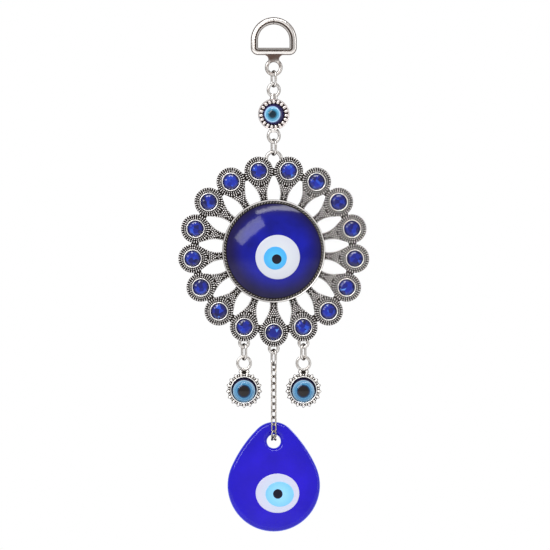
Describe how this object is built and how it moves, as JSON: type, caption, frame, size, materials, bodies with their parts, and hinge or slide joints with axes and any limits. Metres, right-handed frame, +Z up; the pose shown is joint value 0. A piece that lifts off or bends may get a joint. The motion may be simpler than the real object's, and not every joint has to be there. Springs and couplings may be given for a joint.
{
  "type": "evil eye ornament",
  "caption": "Hanging eye charm: a D-shaped ring over a stone-rimmed medallion with a domed glass eye, side charms and a glass drop on a fine chain.",
  "frame": {"origin": "top of the inside of the hanging ring, where a hook or nail bears", "axes": "+Z up along the hanging line, the front with the eyes faces -Y, +X to the right seen from the front"},
  "size_m": [0.0602, 0.0103, 0.1646],
  "materials": {
    "antique_silver": "cast zinc alloy with an antique silver plate, dark patina in the recesses",
    "ring_metal": "polished cast hanging ring",
    "link_metal": "polished round wire",
    "chain_metal": "fine round wire",
    "cobalt_stone": "faceted cobalt rhinestone with a foiled back",
    "eye_bead": "glossy eye cabochon: navy rim, light blue rings, dark pupil",
    "cobalt_glass": "opaque deep blue glass dome",
    "ultramarine_glass": "saturated ultramarine glass",
    "white_glass": "opaque white glass inlay",
    "sky_glass": "opaque light blue glass inlay",
    "black_glass": "opaque black glass inlay"
  },
  "bodies": {
    "hanger": {"hanger_ring": "ring_metal"},
    "top_link": {"top_link": "link_metal"},
    "connector": {"connector_setting": "antique_silver", "connector_bead": "eye_bead"},
    "lower_link": {"lower_link": "link_metal"},
    "medallion": {"medallion_frame": "antique_silver", "rim_stones": "cobalt_stone", "center_glass_blue": "cobalt_glass", "center_glass_white": "white_glass", "center_glass_sky": "sky_glass", "center_glass_pupil": "black_glass"},
    "left_link": {"left_link": "link_metal"},
    "left_charm": {"left_charm": "antique_silver", "left_bead": "eye_bead"},
    "right_link": {"right_link": "link_metal"},
    "right_charm": {"right_charm": "antique_silver", "right_bead": "eye_bead"},
    "chain_ring": {"chain_ring": "link_metal"},
    "chain_01": {"front_link_01": "chain_metal", "back_link_01": "chain_metal"},
    "chain_02": {"front_link_02": "chain_metal", "back_link_02": "chain_metal"},
    "chain_03": {"front_link_03": "chain_metal", "back_link_03": "chain_metal"},
    "chain_04": {"front_link_04": "chain_metal", "back_link_04": "chain_metal"},
    "chain_05": {"front_link_05": "chain_metal", "back_link_05": "chain_metal"},
    "chain_06": {"front_link_06": "chain_metal", "back_link_06": "chain_metal"},
    "chain_07": {"front_link_07": "chain_metal", "back_link_07": "chain_metal"},
    "chain_08": {"front_link_08": "chain_metal", "back_link_08": "chain_metal"},
    "chain_09": {"front_link_09": "chain_metal", "back_link_09": "chain_metal"},
    "chain_10": {"front_link_10": "chain_metal", "back_link_10": "chain_metal"},
    "chain_11": {"front_link_11": "chain_metal", "back_link_11": "chain_metal"},
    "hole_links": {"front_link_12": "chain_metal", "back_link_12": "chain_metal"},
    "drop": {"drop_glass": "ultramarine_glass", "drop_white": "white_glass", "drop_sky": "sky_glass", "drop_pupil": "black_glass"}
  },
  "joints": [
    {"name": "ring_to_link", "type": "hinge", "parent": "hanger", "child": "top_link", "pos_m": [0, 0, -0.01604], "axis": [1, 0, 0], "range_deg": [-60, 60]},
    {"name": "link_to_connector", "type": "hinge", "parent": "top_link", "child": "connector", "pos_m": [0, 0, -0.01986], "axis": [0, 1, 0], "range_deg": [-50, 50]},
    {"name": "connector_to_link", "type": "hinge", "parent": "connector", "child": "lower_link", "pos_m": [0, 0, -0.03775], "axis": [-1, 0, 0], "range_deg": [-60, 60]},
    {"name": "link_to_medallion", "type": "hinge", "parent": "lower_link", "child": "medallion", "pos_m": [0, 0, -0.04172], "axis": [0, -1, 0], "range_deg": [-40, 40]},
    {"name": "left_loop_to_link", "type": "hinge", "parent": "medallion", "child": "left_link", "pos_m": [-0.0095, 0, -0.1033], "axis": [1, 0, 0], "range_deg": [-60, 60]},
    {"name": "left_link_to_charm", "type": "hinge", "parent": "left_link", "child": "left_charm", "pos_m": [-0.0095, 0, -0.10722], "axis": [0, 1, 0], "range_deg": [-10, 45]},
    {"name": "right_loop_to_link", "type": "hinge", "parent": "medallion", "child": "right_link", "pos_m": [0.0095, 0, -0.1033], "axis": [1, 0, 0], "range_deg": [-60, 60]},
    {"name": "right_link_to_charm", "type": "hinge", "parent": "right_link", "child": "right_charm", "pos_m": [0.0095, 0, -0.10722], "axis": [0, -1, 0], "range_deg": [-10, 45]},
    {"name": "mid_loop_to_ring", "type": "hinge", "parent": "medallion", "child": "chain_ring", "pos_m": [0, 0, -0.10505], "axis": [1, 0, 0], "range_deg": [-60, 60]},
    {"name": "chain_01", "type": "hinge", "parent": "chain_ring", "child": "chain_01", "pos_m": [0, 0, -0.10884], "axis": [0, 1, 0], "range_deg": [-15, 15]},
    {"name": "chain_02", "type": "hinge", "parent": "chain_01", "child": "chain_02", "pos_m": [0, 0, -0.11053], "axis": [0, -1, 0], "range_deg": [-15, 15]},
    {"name": "chain_03", "type": "hinge", "parent": "chain_02", "child": "chain_03", "pos_m": [0, 0, -0.11271], "axis": [0, 1, 0], "range_deg": [-15, 15]},
    {"name": "chain_04", "type": "hinge", "parent": "chain_03", "child": "chain_04", "pos_m": [0, 0, -0.11488], "axis": [0, -1, 0], "range_deg": [-15, 15]},
    {"name": "chain_05", "type": "hinge", "parent": "chain_04", "child": "chain_05", "pos_m": [0, 0, -0.11706], "axis": [0, 1, 0], "range_deg": [-15, 15]},
    {"name": "chain_06", "type": "hinge", "parent": "chain_05", "child": "chain_06", "pos_m": [0, 0, -0.11924], "axis": [0, -1, 0], "range_deg": [-15, 15]},
    {"name": "chain_07", "type": "hinge", "parent": "chain_06", "child": "chain_07", "pos_m": [0, 0, -0.12141], "axis": [0, 1, 0], "range_deg": [-15, 15]},
    {"name": "chain_08", "type": "hinge", "parent": "chain_07", "child": "chain_08", "pos_m": [0, 0, -0.12359], "axis": [0, -1, 0], "range_deg": [-15, 15]},
    {"name": "chain_09", "type": "hinge", "parent": "chain_08", "child": "chain_09", "pos_m": [0, 0, -0.12577], "axis": [0, 1, 0], "range_deg": [-15, 15]},
    {"name": "chain_10", "type": "hinge", "parent": "chain_09", "child": "chain_10", "pos_m": [0, 0, -0.12794], "axis": [0, -1, 0], "range_deg": [-15, 15]},
    {"name": "chain_11", "type": "hinge", "parent": "chain_10", "child": "chain_11", "pos_m": [0, 0, -0.13014], "axis": [0, 1, 0], "range_deg": [-15, 15]},
    {"name": "chain_to_hole_links", "type": "hinge", "parent": "chain_11", "child": "hole_links", "pos_m": [0, 0, -0.13195], "axis": [0, -1, 0], "range_deg": [-10, 10]},
    {"name": "drop_swing", "type": "hinge", "parent": "hole_links", "child": "drop", "pos_m": [0, 0, -0.13251], "axis": [0, 1, 0], "range_deg": [-45, 45]}
  ]
}
